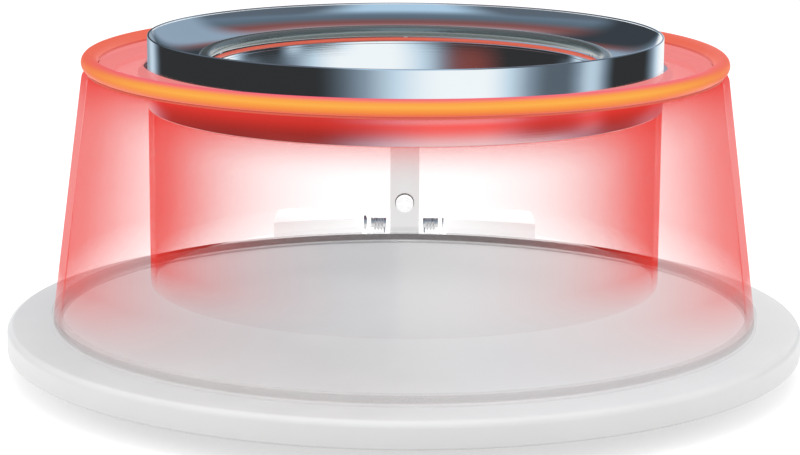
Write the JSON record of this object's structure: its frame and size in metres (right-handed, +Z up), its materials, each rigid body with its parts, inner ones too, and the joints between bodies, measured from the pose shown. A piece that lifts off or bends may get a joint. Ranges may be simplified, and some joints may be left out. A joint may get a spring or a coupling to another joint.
{
  "type": "electric pizza maker",
  "caption": "Round ceramic baking deck heated from below, under a hinged red glass hood that carries two ring heaters round a polished heat shield.",
  "frame": {"origin": "on the table plane, on the deck's vertical axis", "axes": "+Z up, -Y the front that faces the user, +Y the rear with the hinge and controls"},
  "size_m": [0.338, 0.393, 0.1426],
  "materials": {
    "white_glaze": "glossy white glaze",
    "brass_turned": "turned",
    "coated_pan": "satin light grey coat",
    "plain_steel": "plain zinc-plated",
    "fibre_pad": "matte ceramic fibre",
    "heater_sheath": "dull oxidised sheath",
    "glowing_sheath": "sheath glowing orange",
    "white_ceramic": "matte",
    "copper_sensor": "copper bulb and capillary",
    "grey_rubber": "matte",
    "white_plastic": "smooth white",
    "white_coat": "white coat",
    "black_plastic": "fine matte",
    "dial_plastic": "satin",
    "amber_lens": "clear amber",
    "red_glass": "clear glass with a fading red tint",
    "red_silicone": "soft silicone",
    "clear_silicone": "translucent white silicone",
    "polished_chrome": "polished",
    "satin_aluminium": "satin",
    "lead_sleeve": "braided silicone sleeve"
  },
  "bodies": {
    "base": {"deck_stone": "white_glaze", "deck_inserts": "brass_turned", "base_pan": "coated_pan", "pan_screws": "plain_steel", "insulation_pad": "fibre_pad", "lower_element": "heater_sheath", "element_saddles": "plain_steel", "thermal_fuse": "white_ceramic", "deck_sensor": "copper_sensor", "rubber_feet": "grey_rubber", "foot_screws": "plain_steel", "rear_housing": "white_plastic", "rear_cover": "white_plastic", "cover_screws": "plain_steel", "hinge_bracket": "white_coat", "bracket_screws": "plain_steel", "hinge_pin": "plain_steel", "hinge_springs": "plain_steel", "terminal_block": "white_ceramic", "base_wiring": "lead_sleeve", "power_inlet": "black_plastic", "inlet_pins": "brass_turned", "switch_frame": "black_plastic", "thermostat": "satin_aluminium", "pilot_lamp": "amber_lens"},
    "hood": {"hood_glass": "red_glass", "hood_flange": "red_glass", "foot_gasket": "clear_silicone", "rim_seal": "red_silicone", "top_glass": "red_glass", "collar_seal": "red_silicone", "retaining_ring": "red_silicone", "clamp_ring": "plain_steel", "shield_band": "polished_chrome", "reflector_dish": "polished_chrome", "throat_liner": "polished_chrome", "lip_seal": "red_silicone", "channel_cover": "satin_aluminium", "cover_rivets": "satin_aluminium", "sleeve_glass": "red_glass", "sleeve_clips": "plain_steel", "outer_element": "glowing_sheath", "inner_element": "heater_sheath", "inner_element_posts": "plain_steel", "element_bushings": "white_ceramic", "band_bushings": "white_ceramic", "terminal_housing": "black_plastic", "terminal_cover": "black_plastic", "terminal_screws": "plain_steel", "upper_cutout": "satin_aluminium", "hood_wiring": "lead_sleeve", "lift_handle": "black_plastic", "handle_screws": "plain_steel", "hinge_arm": "white_coat", "arm_cover": "white_coat", "arm_screws": "plain_steel", "arm_grommets": "red_silicone"},
    "rocker": {"switch_rocker": "dial_plastic"},
    "dial": {"heat_dial": "dial_plastic"}
  },
  "joints": [
    {"name": "hood_hinge", "type": "hinge", "parent": "base", "child": "hood", "pos_m": [0, 0.176, 0.025], "axis": [-1, 0, 0], "range_deg": [0, 78]},
    {"name": "power_switch", "type": "hinge", "parent": "base", "child": "rocker", "pos_m": [0, 0.2121, 0.0129], "axis": [0, 0, 1], "range_deg": [0, 16]},
    {"name": "heat_dial_turn", "type": "hinge", "parent": "base", "child": "dial", "pos_m": [0.037, 0.214, 0.0129], "axis": [0, -1, 0], "range_deg": [0, 270]}
  ]
}
